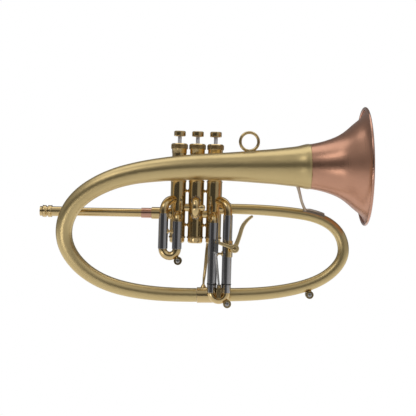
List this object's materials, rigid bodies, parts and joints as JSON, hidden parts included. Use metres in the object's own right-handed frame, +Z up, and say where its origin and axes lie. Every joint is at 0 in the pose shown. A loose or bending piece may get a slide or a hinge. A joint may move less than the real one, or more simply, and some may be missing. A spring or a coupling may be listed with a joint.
{
  "type": "flugelhorn",
  "caption": "B flat flugelhorn with a wide conical loop, copper bell flare, upright piston valves, drawable slides, a trigger and water keys.",
  "frame": {"origin": "centre of the mouth of the mouthpiece receiver", "axes": "+X along the bell's axis towards the bell, +Z up along the valves (which lean 1.65 degrees to +X), +Y to the side away from valve slide 2"},
  "size_m": [0.4219, 0.152, 0.2578],
  "materials": {
    "polished_brass": "polished and lacquered",
    "satin_brass": "satin brushed",
    "copper": "satin brushed copper alloy",
    "polished_copper": "polished copper alloy",
    "nickel_silver": "polished nickel silver",
    "steel": "plain steel",
    "rubber": "black",
    "felt": "felt"
  },
  "bodies": {
    "horn": {"bell_flare": "copper", "bell_rim_wire": "polished_copper", "bell_stem": "satin_brass", "bell_branch": "satin_brass", "branch_ferrules": "polished_brass", "mouthpipe_socket": "polished_brass", "top_caps": "polished_brass", "cap_felts": "felt", "bottom_caps": "polished_brass", "valve_guides": "polished_brass", "valve_knuckles": "polished_brass", "casing_braces": "polished_brass", "slide1_upper_bows": "polished_brass", "slide3_upper_bows": "polished_brass", "slide1_outer_tubes": "nickel_silver", "slide3_outer_tubes": "nickel_silver", "slide_braces": "polished_brass", "slide2_outer_tubes": "nickel_silver", "trigger_bracket": "polished_brass", "trigger_screw": "steel", "trigger_spring": "steel", "branch_key_barrel": "polished_brass", "bell_posts": "polished_brass", "finger_ring": "polished_brass", "bell_brace": "nickel_silver", "grip_bar": "polished_brass", "valve_casing_1": "polished_brass", "valve_spring_1": "steel", "valve_casing_2": "polished_brass", "valve_spring_2": "steel", "valve_casing_3": "polished_brass", "valve_spring_3": "steel"},
    "tuning_pipe": {"mouthpiece_receiver": "polished_brass", "mouthpipe": "polished_brass", "mouthpipe_collar": "polished_copper"},
    "valve_1": {"piston_1": "nickel_silver", "valve_stem_1": "nickel_silver", "finger_button_1": "polished_brass"},
    "valve_2": {"piston_2": "nickel_silver", "valve_stem_2": "nickel_silver", "finger_button_2": "polished_brass"},
    "valve_3": {"piston_3": "nickel_silver", "valve_stem_3": "nickel_silver", "finger_button_3": "polished_brass"},
    "slide_1": {"slide1_inner_tubes": "nickel_silver", "slide1_crook": "polished_brass", "slide1_key_barrel": "polished_brass"},
    "slide_2": {"slide2_inner_tubes": "nickel_silver", "slide2_crook": "polished_brass"},
    "slide_3": {"slide3_inner_tubes": "nickel_silver", "slide3_ring_seals": "rubber", "slide3_crook": "polished_brass", "slide3_key_barrel": "polished_brass", "trigger_link": "steel", "link_foot": "polished_brass"},
    "trigger": {"trigger_lever": "polished_brass", "trigger_pin": "steel"},
    "water_key_1": {"slide1_key_plunger": "steel"},
    "water_key_3": {"slide3_key_plunger": "steel"},
    "water_key_branch": {"branch_key_plunger": "steel"}
  },
  "joints": [
    {"name": "valve_1_press", "type": "slide", "parent": "horn", "child": "valve_1", "axis": [-0.0288, 0, -0.9996], "range_m": [0, 0.0094], "stiffness_N_per_m": 100, "springref_m": -0.03, "deforming": ["valve_spring_1"]},
    {"name": "valve_2_press", "type": "slide", "parent": "horn", "child": "valve_2", "axis": [-0.0288, 0, -0.9996], "range_m": [0, 0.0094], "stiffness_N_per_m": 100, "springref_m": -0.03, "deforming": ["valve_spring_2"]},
    {"name": "valve_3_press", "type": "slide", "parent": "horn", "child": "valve_3", "axis": [-0.0288, 0, -0.9996], "range_m": [0, 0.0094], "stiffness_N_per_m": 100, "springref_m": -0.03, "deforming": ["valve_spring_3"]},
    {"name": "mouthpipe_draw", "type": "slide", "parent": "horn", "child": "tuning_pipe", "axis": [-0.9998, 0, 0.0178], "range_m": [0, 0.018]},
    {"name": "slide_1_draw", "type": "slide", "parent": "horn", "child": "slide_1", "axis": [-0.0288, 0, -0.9996], "range_m": [0, 0.025]},
    {"name": "slide_2_draw", "type": "slide", "parent": "horn", "child": "slide_2", "axis": [0, -1, 0], "range_m": [0, 0.012]},
    {"name": "slide_3_draw", "type": "slide", "parent": "horn", "child": "slide_3", "axis": [-0.0288, 0, -0.9996], "range_m": [0, 0.01464]},
    {"name": "trigger_pull", "type": "hinge", "parent": "horn", "child": "trigger", "pos_m": [0.25372, -0.031, -0.04812], "axis": [0, -1, 0], "range_deg": [0, 35.5], "stiffness_Nm_per_rad": 0.04, "springref_deg": -68.75, "deforming": ["trigger_spring"]},
    {"name": "water_key_1_press", "type": "slide", "parent": "slide_1", "child": "water_key_1", "axis": [0, 1, 0], "range_m": [0, 0.002], "stiffness_N_per_m": 200, "springref_m": -0.004},
    {"name": "water_key_3_press", "type": "slide", "parent": "slide_3", "child": "water_key_3", "axis": [0, 1, 0], "range_m": [0, 0.002], "stiffness_N_per_m": 200, "springref_m": -0.004},
    {"name": "water_key_branch_press", "type": "slide", "parent": "horn", "child": "water_key_branch", "axis": [0, 1, 0], "range_m": [0, 0.002], "stiffness_N_per_m": 200, "springref_m": -0.004}
  ],
  "couplings": [
    {"joint": "trigger_pull", "follows": "slide_3_draw", "rad_per_m": 41.72}
  ]
}
